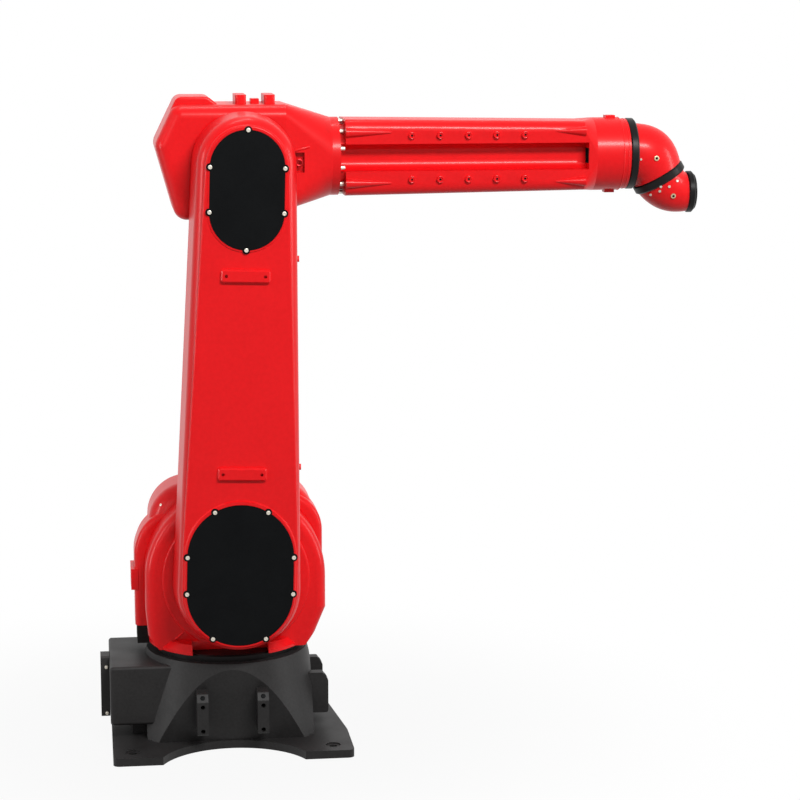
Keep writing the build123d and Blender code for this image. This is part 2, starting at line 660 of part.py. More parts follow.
def near_circle(radius):
    return RectangleRounded(2 * radius, 2 * radius, radius - RUN_GAP)


def rear_slope_x(rise):
    """Place on the sloping upper rear face at this height above the elbow axis."""
    share = (rise - ELBOW_REAR_RISE) / (ELBOW_TOP - ELBOW_REAR_RISE)
    return -ELBOW_REAR + share * (ELBOW_REAR - ELBOW_REAR_SLOPE_TOP)


def elbow_block():
    outline = Polygon(
        (rear_slope_x(ELBOW_TOP), ELBOW_TOP),
        (-ELBOW_REAR, ELBOW_REAR_RISE),
        (-ELBOW_REAR_BOTTOM, -ELBOW_BOTTOM),
        (ELBOW_BELLY_FRONT, -ELBOW_BOTTOM),
        (ELBOW_FRONT, -ELBOW_FRONT_BOTTOM),
        (ELBOW_FRONT, ELBOW_TOP),
        align=None,
    )
    block = prism_y(outline, -SWIVEL_FACE_DISTANCE, ELBOW_FAR_DISTANCE)
    corners = [e for e in block.edges().filter_by(Axis.Y) if e.center().X < ELBOW_FRONT - RUN_GAP]
    block = fillet(corners, ELBOW_EDGE_RADIUS)
    faces = block.faces().sort_by(Axis.Y)
    rims = [e for f in (faces[0], faces[-1]) for e in f.edges() if e.center().X < ELBOW_FRONT - RUN_GAP]
    return fillet(rims, ELBOW_RIM_RADIUS)


def elbow_snout():
    width = SWIVEL_FACE_DISTANCE + ELBOW_FAR_DISTANCE
    height = ELBOW_TOP + ELBOW_FRONT_BOTTOM
    middle_y = (ELBOW_FAR_DISTANCE - SWIVEL_FACE_DISTANCE) / 2
    middle_z = (ELBOW_TOP - ELBOW_FRONT_BOTTOM) / 2
    end = ELBOW_FLANGE_REACH - ELBOW_FLANGE_THICKNESS
    root = Plane.YZ.offset(ELBOW_FRONT) * Pos(middle_y, middle_z) * RectangleRounded(
        width, height, ELBOW_RIM_RADIUS
    )
    tip = Plane.YZ.offset(end) * Pos(0, FOREARM_RISE) * near_circle(ELBOW_FLANGE_RADIUS)
    return loft([root, tip]) + disc_x(ELBOW_FLANGE_RADIUS, end, ELBOW_FLANGE_REACH, 0, FOREARM_RISE)


def elbow_ridge():
    crest = ELBOW_TOP + RIDGE_HEIGHT
    foot = ELBOW_TOP - CUT_OVERRUN
    outline = Polygon(
        (rear_slope_x(foot), foot),
        (rear_slope_x(crest), crest),
        (-RIDGE_FRONT - RIDGE_SLOPE, crest),
        (-RIDGE_FRONT, ELBOW_TOP),
        (-RIDGE_FRONT, foot),
        align=None,
    )
    ridge = prism_y(outline, -RIDGE_NEAR, RIDGE_FAR)
    crests = [e for e in ridge.edges().filter_by(Axis.Y) if e.center().Z > crest - RUN_GAP]
    ridge = fillet(crests, RIDGE_EDGE_RADIUS)
    ends = [f for f in ridge.faces().filter_by(Axis.Y)]
    rims = [e for f in ends for e in f.edges() if e.center().Z > ELBOW_TOP]
    return fillet(rims, RIDGE_RIM_RADIUS)


def elbow_casting():
    casting = elbow_block() + elbow_snout() + elbow_ridge()
    pocket = Pos(POCKET_X, POCKET_RISE) * Rectangle(POCKET_WIDTH, POCKET_HEIGHT)
    floor = POCKET_DEPTH - SWIVEL_FACE_DISTANCE
    casting -= prism_y(pocket, -SWIVEL_FACE_DISTANCE - CUT_OVERRUN, floor)
    return ELBOW_POSE * casting


def elbow_reducer():
    return ELBOW_POSE * disc_y(ELBOW_REDUCER_RADIUS, REDUCER_FACE_Y, -SWIVEL_FACE_DISTANCE)


def mounting_rails():
    rails = []
    for x in RAIL_PLACES:
        rail = prism_y(
            Pos(x, ELBOW_TOP + RAIL_HEIGHT / 2) * Rectangle(RAIL_WIDTH, RAIL_HEIGHT),
            -RAIL_LENGTH / 2,
            RAIL_LENGTH / 2,
        )
        ends = [e for e in rail.edges().filter_by(Axis.Z)]
        rails.append(fillet(ends, RAIL_END_RADIUS))
    return ELBOW_POSE * Compound(children=rails)


def port_block():
    middle = sum(RAIL_PLACES) / len(RAIL_PLACES)
    outline = Rectangle(PORT_BLOCK_WIDTH, PORT_BLOCK_HEIGHT)
    outline = Pos(middle, ELBOW_TOP + PORT_BLOCK_HEIGHT / 2) * outline
    return ELBOW_POSE * prism_y(outline, -PORT_BLOCK_LENGTH, 0)


def elbow_port():
    floor = POCKET_DEPTH - SWIVEL_FACE_DISTANCE
    near = -SWIVEL_FACE_DISTANCE + RING_CHAMFER
    tube = disc_y(PORT_RADIUS, near, floor, POCKET_X, POCKET_RISE)
    tube -= disc_y(PORT_BORE_RADIUS, near - CUT_OVERRUN, floor - RING_CHAMFER, POCKET_X, POCKET_RISE)
    return ELBOW_POSE * tube


# Forearm

def forearm_width(x):
    share = (x - BEAM_START) / (FOREARM_TIP - BEAM_START)
    return FOREARM_ROOT_WIDTH + share * (FOREARM_TIP_WIDTH - FOREARM_ROOT_WIDTH)


def forearm_beam():
    root = Plane.YZ.offset(BEAM_START) * RectangleRounded(
        FOREARM_ROOT_WIDTH, FOREARM_ROOT_HEIGHT, FOREARM_CORNER_RADIUS
    )
    tip = Plane.YZ.offset(FOREARM_TIP) * RectangleRounded(
        FOREARM_TIP_WIDTH, FOREARM_TIP_HEIGHT, FOREARM_CORNER_RADIUS
    )
    throat = Plane.YZ.offset(COLLAR_START) * near_circle(COLLAR_RADIUS)
    beam = loft([root, tip], ruled=True) + loft([tip, throat], ruled=True)
    beam += disc_x(COLLAR_RADIUS, COLLAR_START, COLLAR_END)
    # The flange's screws stand around the neck.
    beam += disc_x(FOREARM_NECK_RADIUS, FOREARM_ROOT, BEAM_START)
    return beam + disc_x(ELBOW_FLANGE_RADIUS, ELBOW_FLANGE_REACH, FOREARM_ROOT)


def gussets(side):
    solids = []
    for z in (-GUSSET_OFFSET, GUSSET_OFFSET):
        root = Cone(GUSSET_RADIUS, GUSSET_TIP_RADIUS, ROOT_GUSSET_LENGTH)
        root_y = side * forearm_width(BEAM_START) / 2
        solids.append(Pos(BEAM_START + ROOT_GUSSET_LENGTH / 2, root_y, z) * Rot(0, 90, 0) * root)
        tip = Cone(GUSSET_TIP_RADIUS, GUSSET_RADIUS, TIP_GUSSET_LENGTH)
        tip_y = side * forearm_width(FOREARM_TIP) / 2
        solids.append(Pos(FOREARM_TIP - TIP_GUSSET_LENGTH / 2, tip_y, z) * Rot(0, 90, 0) * tip)
    return solids


def bosses(side):
    solids = []
    for step in range(BOSS_COUNT):
        x = BOSS_START + step * BOSS_PITCH
        for z in (-BOSS_OFFSET, BOSS_OFFSET):
            boss = disc_y(BOSS_RADIUS, -BOSS_FACE, BOSS_HOLE_DEPTH + BOSS_PROUD - BOSS_FACE, x, z)
            # The bosses on the far side stay undrilled.
            if side < 0:
                boss -= disc_y(BOSS_HOLE_RADIUS, -BOSS_FACE - CUT_OVERRUN, BOSS_PROUD - BOSS_FACE, x, z)
            solids.append(boss if side < 0 else mirror(boss, Plane.XZ))
    return solids


def collar_lugs():
    x = (COLLAR_START + COLLAR_END) / 2 + COLLAR_LUG_LENGTH / 2
    root = COLLAR_RADIUS - CUT_OVERRUN
    top = COLLAR_RADIUS + COLLAR_LUG_PROUD
    outline = Pos(x, 0) * Rectangle(COLLAR_LUG_LENGTH, COLLAR_LUG_WIDTH)
    return [prism_z(outline, root, top), prism_z(outline, -top, -root)]


def forearm_casting():
    casting = forearm_beam()
    for side in (-1, 1):
        groove = Pos(side * FOREARM_ROOT_WIDTH / 2, 0) * RectangleRounded(
            2 * GROOVE_DEPTH, GROOVE_WIDTH, GROOVE_ROOT_RADIUS
        )
        casting -= prism_x(groove, FOREARM_ROOT, GROOVE_END)
        pass_y = side * (FOREARM_ROOT_WIDTH / 2 - GROOVE_DEPTH + HOSE_PASS_WIDTH / 2)
        hose_pass = Pos(pass_y, 0) * Rectangle(HOSE_PASS_WIDTH, HOSE_PASS_HEIGHT)
        casting -= prism_x(hose_pass, GROOVE_END - CUT_OVERRUN, GROOVE_END + HOSE_PASS_DEPTH)
        casting += gussets(side)
        casting += bosses(side)
    casting += collar_lugs()
    return FOREARM_POSE * casting


def wrist_seat():
    seat = disc_x(WRIST_SEAT_RADIUS, COLLAR_END, COLLAR_END + WRIST_SEAT_LENGTH)
    return FOREARM_POSE * seat


# Wrist

def oblique_plane(distance):
    turn = math.radians(OBLIQUE_ANGLE)
    normal = (math.cos(turn), 0, -math.sin(turn))
    origin = (BEND_RING_FORWARD + distance * normal[0], 0, -BEND_RING_DROP + distance * normal[2])
    return Plane(origin=origin, x_dir=(0, 1, 0), z_dir=normal)


def fan_body(x, axis_z, straight_radius, distance, oblique_radius, bulge=0):
    """Elbow casting between a face square to the forearm at x and an oblique face."""
    oblique = oblique_plane(distance).origin
    turn = math.radians(OBLIQUE_ANGLE)
    pivot_z = oblique.Z + (x - oblique.X) / math.tan(turn)
    straight_reach = axis_z - pivot_z
    side = math.copysign(1, straight_reach)
    oblique_reach = side * math.hypot(oblique.X - x, oblique.Z - pivot_z)
    sections = []
    for step in range(ELBOW_LOFT_STEPS + 1):
        share = step / ELBOW_LOFT_STEPS
        angle = share * turn
        swell = 2 * bulge * share * (1 - share)
        reach = straight_reach + share * (oblique_reach - straight_reach) + side * swell
        radius = straight_radius + share * (oblique_radius - straight_radius) + swell
        origin = (x + reach * math.sin(angle), 0, pivot_z + reach * math.cos(angle))
        plane = Plane(origin=origin, x_dir=(0, 1, 0), z_dir=(math.cos(angle), 0, -math.sin(angle)))
        sections.append(plane * Circle(radius))
    return loft(sections)


def soft_ring(ring):
    edges = ring.edges().filter_by(GeomType.CIRCLE).group_by(SortBy.RADIUS)[-1]
    return chamfer(edges, RING_CHAMFER)


def roll_ring():
    return FOREARM_POSE * soft_ring(disc_x(ROLL_RING_RADIUS, ROLL_RING_START, ROLL_BODY_START))


def roll_body():
    end = -BEND_RING_THICKNESS / 2
    body = fan_body(ROLL_BODY_START, 0, ROLL_BODY_RADIUS, end, ROLL_BODY_END_RADIUS, ROLL_BODY_BULGE)
    return FOREARM_POSE * body


def bend_ring():
    low = RUN_GAP - BEND_RING_THICKNESS / 2
    ring = extrude(oblique_plane(low) * Circle(BEND_RING_RADIUS), BEND_RING_THICKNESS - RUN_GAP)
    return FOREARM_POSE * soft_ring(ring)


def bend_body():
    end = TOOL_RING_START - RUN_GAP
    body = fan_body(end, -TOOL_AXIS_DROP, BEND_BODY_END_RADIUS, BEND_RING_THICKNESS / 2, BEND_BODY_RADIUS)
    body -= disc_x(HOSE_WAY_RADIUS, end - HOSE_WAY_DEPTH, end + CUT_OVERRUN, 0, -TOOL_AXIS_DROP)
    return FOREARM_POSE * body


def tool_flange():
    shoulder = TOOL_RING_START + TOOL_RING_LENGTH
    end = TOOL_RING_START + TOOL_FLANGE_LENGTH
    low = TOOL_RING_START - CUT_OVERRUN
    flange = soft_ring(disc_x(TOOL_RING_RADIUS, TOOL_RING_START, shoulder, 0, -TOOL_AXIS_DROP))
    flange += disc_x(TOOL_FACE_RADIUS, TOOL_RING_START, end, 0, -TOOL_AXIS_DROP)
    flange -= disc_x(TOOL_BORE_RADIUS, low, end + CUT_OVERRUN, 0, -TOOL_AXIS_DROP)
    for step in range(TOOL_BOLT_COUNT):
        turn = math.radians(360 * step / TOOL_BOLT_COUNT)
        y = TOOL_BOLT_CIRCLE / 2 * math.cos(turn)
        z = TOOL_BOLT_CIRCLE / 2 * math.sin(turn) - TOOL_AXIS_DROP
        flange -= disc_x(TOOL_BOLT_RADIUS, low, end + CUT_OVERRUN, y, z)
    return FOREARM_POSE * flange


os.makedirs("parts", exist_ok=True)

export_step(base_casting(), "parts/base_casting.step")
export_step(connector_shell(), "parts/connector_shell.step")
export_step(connector_insert(), "parts/connector_insert.step")
export_step(swivel_bearing(), "parts/swivel_bearing.step")
export_step(swivel_casting(), "parts/swivel_casting.step")
export_step(stop_block(), "parts/stop_block.step")
export_step(shoulder_reducer(), "parts/shoulder_reducer.step")
export_step(
    motor(SHOULDER_MOTOR_SIZE, SHOULDER_MOTOR_LENGTH, REAR_BODY_BACK, SHOULDER_X, SHOULDER_Z),
    "parts/shoulder_motor.step",
)
export_step(lower_arm_casting(), "parts/lower_arm_casting.step")
export_step(shoulder_cover(), "parts/shoulder_cover.step")
export_step(elbow_cover(), "parts/elbow_cover.step")
export_step(elbow_casting(), "parts/elbow_casting.step")
export_step(elbow_reducer(), "parts/elbow_reducer.step")
export_step(mounting_rails(), "parts/mounting_rails.step")
export_step(port_block(), "parts/port_block.step")
export_step(elbow_port(), "parts/elbow_port.step")
export_step(
    motor(ELBOW_MOTOR_SIZE, ELBOW_MOTOR_LENGTH, ELBOW_FAR_DISTANCE, ELBOW_X, ELBOW_Z),
    "parts/elbow_motor.step",
)
export_step(forearm_casting(), "parts/forearm_casting.step")
export_step(wrist_seat(), "parts/wrist_seat.step")
export_step(roll_ring(), "parts/roll_ring.step")
export_step(roll_body(), "parts/roll_body.step")
export_step(bend_ring(), "parts/bend_ring.step")
export_step(bend_body(), "parts/bend_body.step")
export_step(tool_flange(), "parts/tool_flange.step")
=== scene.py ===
import json
import math

import bmesh
import bpy
from mathutils import Matrix, Vector
from mathutils.bvhtree import BVHTree


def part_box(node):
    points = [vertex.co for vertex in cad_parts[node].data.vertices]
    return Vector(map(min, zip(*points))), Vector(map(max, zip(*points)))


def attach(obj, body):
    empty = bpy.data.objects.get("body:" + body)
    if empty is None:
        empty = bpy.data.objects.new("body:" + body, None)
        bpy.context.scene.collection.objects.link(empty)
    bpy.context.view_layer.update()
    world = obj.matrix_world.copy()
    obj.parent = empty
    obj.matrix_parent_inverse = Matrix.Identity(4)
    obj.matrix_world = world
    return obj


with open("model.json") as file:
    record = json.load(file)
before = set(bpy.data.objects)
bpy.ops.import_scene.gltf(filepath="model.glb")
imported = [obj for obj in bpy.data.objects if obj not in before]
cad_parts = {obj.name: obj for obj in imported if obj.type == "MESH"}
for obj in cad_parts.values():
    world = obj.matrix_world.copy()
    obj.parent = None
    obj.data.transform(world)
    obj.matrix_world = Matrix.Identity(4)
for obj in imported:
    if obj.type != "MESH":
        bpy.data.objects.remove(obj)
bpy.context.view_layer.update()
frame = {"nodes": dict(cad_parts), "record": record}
nodes = frame["nodes"]

MM = 0.001

# Directions: the covers of the lower arm face the lens, and the forearm points forward.
NEAR, FAR = (0, -1, 0), (0, 1, 0)
FORWARD, REARWARD = (1, 0, 0), (-1, 0, 0)
SIDES = (-1, 1)

# Places that the screws and the trim share with the castings, in millimetres
SHOULDER_X, SHOULDER_Z = 17.0, 375.0
ARM_LENGTH, ARM_LEAN = 931.0, math.radians(1.6)
ELBOW_X = SHOULDER_X + ARM_LENGTH * math.sin(ARM_LEAN)
ELBOW_Z = SHOULDER_Z + ARM_LENGTH * math.cos(ARM_LEAN)
FOREARM_Z = ELBOW_Z + 8.0
COVER_FACE_Y, COVER_SEAT_Y = -245.0, -241.0
SHOULDER_COVER_RADIUS, SHOULDER_COVER_RISE = 116.0, 82.0
ELBOW_COVER_RADIUS, ELBOW_COVER_DROP = 80.0, 96.0
ELBOW_COVER_LOW = ARM_LENGTH - ELBOW_COVER_DROP
FLANGE_FACE_X, FLANGE_SCREW_CIRCLE = ELBOW_X + 216.5, 81.5
CLIP_START, CLIP_PITCH, CLIP_COUNT, CLIP_OFFSET = ELBOW_X + 374.0, 63.5, 5, 48.5
CLIP_RADIUS, CLIP_HOLE_RADIUS, CLIP_FACE_Y, CLIP_HOLE_FLOOR_Y = 7.5, 2.5, -87.0, -82.0
GROOVE_END, GROOVE_MIDDLE_Y = ELBOW_X + 774.0, 58.0
COLLAR_END, COLLAR_RADIUS = ELBOW_X + 854.5, 82.0
WRIST_SEAT_EDGE, WRIST_SEAT_RADIUS = COLLAR_END + 11.5, 79.0

# Spots that are found on a casting's side, as X and Z in millimetres, and how far out the search starts
ROLL_PLUG_SPOT, ROLL_SCREW_SPOT = (973.2, 1306.4), (938.0, 1304.4)
BEND_PLUG_SPOT = (1017.7, 1220.5)
BEND_SCREW_SPOTS = ((986.3, 1232.0), (1006.4, 1241.8), (1024.9, 1253.9), (968.8, 1223.2), (987.5, 1242.0))
TURRET_BOLT_SPOT, TURRET_RIB_SPOT = (-145.3, 526.7), (-112.0, 246.0)
OUTSIDE = 400.0

# Radius and height of the screw heads, plugs and bosses, in millimetres
COVER_SCREW = (4.6, 4.0)
FLANGE_SCREW = (4.6, 9.5)
MOTOR_SCREW = (6.5, 8.0)
WRIST_PLUG = (6.0, 3.0)
ROLL_SCREW = (2.4, 2.0)
BEND_SCREW = (3.0, 3.0)
TURRET_BOLT = (2.8, 2.0)
ARM_EDGE_BOSS = (7.0, 4.0)
CONNECTOR_PEG = (4.0, 5.0)
PAD_HOLE_SHADE = (5.5, 1.2)
# Near-black disc at the floor of each clip bore, painted shade of the bore
CLIP_BORE_SHADE = (CLIP_HOLE_RADIUS - 0.05, 4.6)

# Shares of a screw head's radius or height
SOCKET_WALL, BORE_SHADE_WALL, SOCKET_TAPER, SOCKET_DEPTH, RIM_SOFTNESS = 0.5, 0.25, 0.03, 0.6, 0.16
HEAD_SEGMENTS = 20

# Edges that bend by more than this stay sharp.
SHARP_EDGE = math.radians(35)


# Finishes

# A grain of under about 2 mm is too fine to show in the render, so each is drawn at 2 mm or coarser.
NOISE = {"Detail": 2.0, "Roughness": 0.5}
PATCH_SHARE = 0.6
TONE_START, TONE_END = 0.4, 1.0
PATCH_LOW, PATCH_HIGH = 0.2, 0.8
RELIEF_STRENGTH = 0.5


def linear(hex_colour):
    """sRGB hex to the linear colour that a shader takes."""
    channels = [int(hex_colour[i : i + 2], 16) / 255 for i in (1, 3, 5)]
    return [c / 12.92 if c <= 0.04045 else ((c + 0.055) / 1.055) ** 2.4 for c in channels] + [1.0]


def per_mm(size):
    """Texture scale whose features are about this many millimetres across."""
    return 1 / (size * MM)


def add(tree, kind, props=None, values=None, links=None):
    """A shader node with its settings, its sockets' values and what is linked to them."""
    made = tree.nodes.new("ShaderNode" + kind)
    for name, value in (props or {}).items():
        setattr(made, name, value)
    for name, value in (values or {}).items():
        made.inputs[name].default_value = value
    for name, source in (links or {}).items():
        tree.links.new(source, made.inputs[name])
    return made


def empty_tree(owner):
    """The node tree of a material or a world, with nothing in it yet."""
    owner.use_nodes = True
    owner.node_tree.nodes.clear()
    return owner.node_tree


def finish_of(name, low, high, patch_mm, rough, grain_mm, relief_mm, sockets):
    """A painted, moulded or machined finish: two close tones in patches, uneven gloss and fine relief."""
    material = bpy.data.materials.new(name)
    tree = empty_tree(material)
    place = {"Vector": add(tree, "TexCoord").outputs["Object"]}
    patches = add(tree, "TexNoise", values={"Scale": per_mm(patch_mm), **NOISE}, links=place).outputs["Fac"]
    grain = add(tree, "TexNoise", values={"Scale": per_mm(grain_mm), **NOISE}, links=place).outputs["Fac"]
    blend = add(tree, "Math", {"operation": "MULTIPLY_ADD"}, {1: PATCH_SHARE}, {0: patches, 2: grain})
    tone = add(tree, "ValToRGB", links={"Fac": blend.outputs[0]})
    first, last = tone.color_ramp.elements
    first.position, first.color = TONE_START, linear(low)
    last.position, last.color = TONE_END, linear(high)
    gloss = add(
        tree, "MapRange",
        values={"From Min": PATCH_LOW, "From Max": PATCH_HIGH, "To Min": rough[0], "To Max": rough[1]},
        links={"Value": patches},
    )
    relief = add(
        tree, "Bump",
        values={"Strength": RELIEF_STRENGTH, "Distance": relief_mm * MM},
        links={"Height": grain},
    )
    shader = add(
        tree, "BsdfPrincipled", values=sockets,
        links={
            "Base Color": tone.outputs["Color"],
            "Roughness": gloss.outputs["Result"],
            "Normal": relief.outputs["Normal"],
        },
    )
    add(tree, "OutputMaterial", links={"Surface": shader.outputs["BSDF"]})
    return material


# Two-part enamel sprayed on aluminium castings: an even, saturated red under a thin clear gloss,
# with a faint orange peel that is drawn coarser to show
red_enamel = finish_of(
    "red_enamel_on_casting", "#d20d12", "#db1016",
    patch_mm=160, rough=(0.38, 0.44), grain_mm=9.0, relief_mm=0.012,
    sockets={
        "IOR": 1.5, "Specular IOR Level": 0.1,
        "Coat Weight": 0.3, "Coat Roughness": 0.2, "Coat IOR": 1.4,
    },
)
# Thick satin paint on sand-cast iron: near-black grey that keeps the mould's coarse skin
grey_iron = finish_of(
    "grey_paint_on_cast_iron", "#1b1a1a", "#242323",
    patch_mm=60, rough=(0.42, 0.54), grain_mm=6.0, relief_mm=0.12,
    sockets={"IOR": 1.5, "Specular IOR Level": 0.17},
)
# Moulded ABS covers: a fine spark-eroded grain that breaks the light into a dull sheen,
# drawn coarser to show
black_abs = finish_of(
    "black_moulded_abs", "#08090a", "#0e0f10",
    patch_mm=45, rough=(0.42, 0.52), grain_mm=3.0, relief_mm=0.06,
    sockets={"IOR": 1.53, "Specular IOR Level": 0.04},
)
# Black anodised aluminium rings: turned, so smoother than the castings, with a low satin gleam
# The same near-black finish also paints the shade in the plug sockets, in the holes of the arm's edge bosses
# and at the floor of the clip bores.
black_anodised_and_painted_shade = finish_of(
    "black_anodised_aluminium_and_painted_shade", "#0c0b0b", "#131111",
    patch_mm=30, rough=(0.34, 0.42), grain_mm=3.0, relief_mm=0.03,
    sockets={"IOR": 1.6, "Specular IOR Level": 0.1},
)
# Folded sheet steel with dark powder coat: a dry, slightly pebbled skin
dark_powder_coat = finish_of(
    "dark_powder_coated_steel", "#222121", "#2b2a2a",
    patch_mm=40, rough=(0.48, 0.58), grain_mm=3.0, relief_mm=0.06,
    sockets={"IOR": 1.5, "Specular IOR Level": 0.2},
)
# Glass-filled nylon socket shells: dull grey with a mottled moulding flow
grey_nylon = finish_of(
    "grey_glass_filled_nylon", "#3d3e3f", "#4a4b4c",
    patch_mm=18, rough=(0.5, 0.62), grain_mm=3.0, relief_mm=0.05,
    sockets={"IOR": 1.53, "Specular IOR Level": 0.25},
)
# Black neoprene bumper, and the black liners that paint the shade of the hose openings: no gloss, a little
# dusty
neoprene = finish_of(
    "black_neoprene", "#111111", "#1a1a19",
    patch_mm=22, rough=(0.72, 0.86), grain_mm=3.0, relief_mm=0.1,
    sockets={"IOR": 1.52, "Specular IOR Level": 0.15},
)
# Ground steel of the gear housings: cool grey metal with a soft smeared reflection
ground_steel = finish_of(
    "ground_steel", "#7f8083", "#939497",
    patch_mm=26, rough=(0.3, 0.42), grain_mm=3.0, relief_mm=0.02,
    sockets={"Metallic": 1.0},
)
# Black lacquer on die-cast motor housings: satin, with the die's smooth skin
motor_lacquer = finish_of(
    "black_lacquer_on_die_casting", "#111112", "#19191a",
    patch_mm=40, rough=(0.36, 0.48), grain_mm=4.0, relief_mm=0.05,
    sockets={"IOR": 1.5, "Specular IOR Level": 0.25},
)
# Zinc-plated steel screws: pale, slightly yellow metal with a cloudy shine
zinc_plate = finish_of(
    "zinc_plated_steel", "#bdb7ac", "#d4cec2",
    patch_mm=6, rough=(0.3, 0.45), grain_mm=2.0, relief_mm=0.02,
    sockets={"Metallic": 1.0},
)
# Nickel-plated brass plugs: warm, pale metal
nickel_brass = finish_of(
    "nickel_plated_brass", "#b79f7f", "#cbb698",
    patch_mm=6, rough=(0.32, 0.44), grain_mm=2.0, relief_mm=0.02,
    sockets={"Metallic": 1.0},
)
# Metal of the air fitting, whose red colour paints in the reflection of the red casting around it
red_reflection_metal = finish_of(
    "metal_with_painted_red_reflection", "#a01c1f", "#b8282b",
    patch_mm=6, rough=(0.3, 0.42), grain_mm=2.0, relief_mm=0.02,
    sockets={"Metallic": 1.0},
)

# Finish of each material slot, for the CAD nodes, which all show
FINISHES = {
    "red_casting": red_enamel,
    "grey_casting": grey_iron,
    "black_cover": black_abs,
    "black_ring": black_anodised_and_painted_shade,
    "dark_plate": dark_powder_coat,
    "socket_shell": grey_nylon,
    "bumper_rubber": neoprene,
    "reducer_steel": ground_steel,
    "motor_housing": motor_lacquer,
    "port_metal": red_reflection_metal,
}
for entry in frame["record"]["subparts"]:
    node = nodes[entry["node"]]
    node.data.materials.clear()
    node.data.materials.append(FINISHES[entry["material_slot"]])


# Shapes of the fasteners and the trim

def cap_screw(radius, height, socket=0, wall=SOCKET_WALL):
    """Round head in millimetres, standing on the origin, with a sunk socket whose finish is numbered; a dark
    second finish there paints the socket's shade.
    """
    radius, height = radius * MM, height * MM
    bm = bmesh.new()
    bmesh.ops.create_cone(
        bm, cap_ends=True, segments=HEAD_SEGMENTS, radius1=radius, radius2=radius, depth=height,
        matrix=Matrix.Translation((0, 0, height / 2)),
    )
    top = max(bm.faces, key=lambda face: face.calc_center_median().z)
    rim = list(top.edges)
    bmesh.ops.inset_region(bm, faces=[top], thickness=radius * wall)
    sunk = bmesh.ops.inset_region(
        bm, faces=[top], thickness=radius * SOCKET_TAPER, depth=-height * SOCKET_DEPTH
    )
    # The socket's faces take the numbered finish, which paints shade into the socket when it is the
    # near-black one.
    for face in [top] + sunk["faces"]:
        face.material_index = socket
    bmesh.ops.bevel(
        bm, geom=rim, offset=radius * RIM_SOFTNESS, affect="EDGES", segments=2, profile=0.5, material=-1
    )
    return bm


def bead(radius, thickness, steps):
    """Round lip in millimetres that runs in a circle about +Z."""
    bm = bmesh.new()
    section = Matrix.Translation((radius * MM, 0, 0)) @ Matrix.Rotation(math.radians(90), 4, "X")
    bmesh.ops.create_circle(bm, radius=thickness * MM, segments=10, matrix=section)
    bmesh.ops.spin(
        bm, geom=bm.verts[:] + bm.edges[:], cent=(0, 0, 0), axis=(0, 0, 1),
        angle=math.radians(360), steps=steps, use_merge=True,
    )
    return bm


# Seats

def standing(seat, axis):
    """Puts the origin on a seat in millimetres, with +Z along an axis."""
    turn = Vector(axis).to_track_quat("Z", "Y").to_matrix().to_4x4()
    return Matrix.Translation(Vector(seat) * MM) @ turn


def seat_on(node, start, towards):
    """Seat where a line from a point in millimetres meets a casting, facing out of it."""
    bm = bmesh.new()
    bm.from_mesh(nodes[node].data)
    tree = BVHTree.FromBMesh(bm)
    bm.free()
    point, normal, _, _ = tree.ray_cast(Vector(start) * MM, Vector(towards))
    return standing(point / MM, normal)


def flank_seat(node, x, z, side=-1):
    """Seat on a casting's near side, or on its far side for a side of 1."""
    return seat_on(node, (x, side * OUTSIDE, z), (0, -side, 0))


def arm_point(across, along, y):
    """Point from the leaning lower arm's own across and along."""
    x = SHOULDER_X + across * math.cos(ARM_LEAN) + along * math.sin(ARM_LEAN)
    z = SHOULDER_Z - across * math.sin(ARM_LEAN) + along * math.cos(ARM_LEAN)
    return Vector((x, y, z))


def on_cover(across, along):
    """Seat on the face of the lower arm's covers."""
    return standing(arm_point(across, along, COVER_FACE_Y), NEAR)


def port_end():
    """Middle of the air fitting's open end, in millimetres."""
    low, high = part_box("elbow_port")
    return (low[0] + high[0]) / 2 / MM, low[1] / MM, (low[2] + high[2]) / 2 / MM


def row_of(name, pattern, places, body, slot, *finishes):
    """One piece from a pattern repeated at its places, riding on a body."""
    one = bpy.data.meshes.new(name + "_pattern")
    pattern.to_mesh(one)
    pattern.free()
    bm = bmesh.new()
    for place in places:
        old = len(bm.verts)
        bm.from_mesh(one)
        bm.verts.ensure_lookup_table()
        bmesh.ops.transform(bm, matrix=place, verts=bm.verts[old:])
    bpy.data.meshes.remove(one)
    bmesh.ops.recalc_face_normals(bm, faces=bm.faces)
    for face in bm.faces:
        face.smooth = True
    for edge in bm.edges:
        edge.smooth = edge.calc_face_angle(0) < SHARP_EDGE
    mesh = bpy.data.meshes.new(name)
    bm.to_mesh(mesh)
    bm.free()
    for finish in finishes:
        mesh.materials.append(finish)
    made = bpy.data.objects.new(name, mesh)
    bpy.context.scene.collection.objects.link(made)
    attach(made, body)


# Lower arm

def cover_screws():
    turn = math.radians(30)
    radius = SHOULDER_COVER_RADIUS
    across, along = radius * math.sin(turn), radius * math.cos(turn)
    shoulder = []
    elbow = [on_cover(0, ELBOW_COVER_LOW - ELBOW_COVER_RADIUS), on_cover(0, ARM_LENGTH + ELBOW_COVER_RADIUS)]
    for side in SIDES:
        for x, height in (
            (radius, 0),
            (radius, SHOULDER_COVER_RISE),
            (across, -along),
            (across, SHOULDER_COVER_RISE + along),
        ):
            shoulder.append(on_cover(side * x, height))
        for height in (ELBOW_COVER_LOW, ARM_LENGTH):
            elbow.append(on_cover(side * ELBOW_COVER_RADIUS, height))
    row_of("shoulder_cover_screws", cap_screw(*COVER_SCREW), shoulder, "lower_arm", "port_metal", zinc_plate)
    row_of("elbow_cover_screws", cap_screw(*COVER_SCREW), elbow, "lower_arm", "port_metal", zinc_plate)


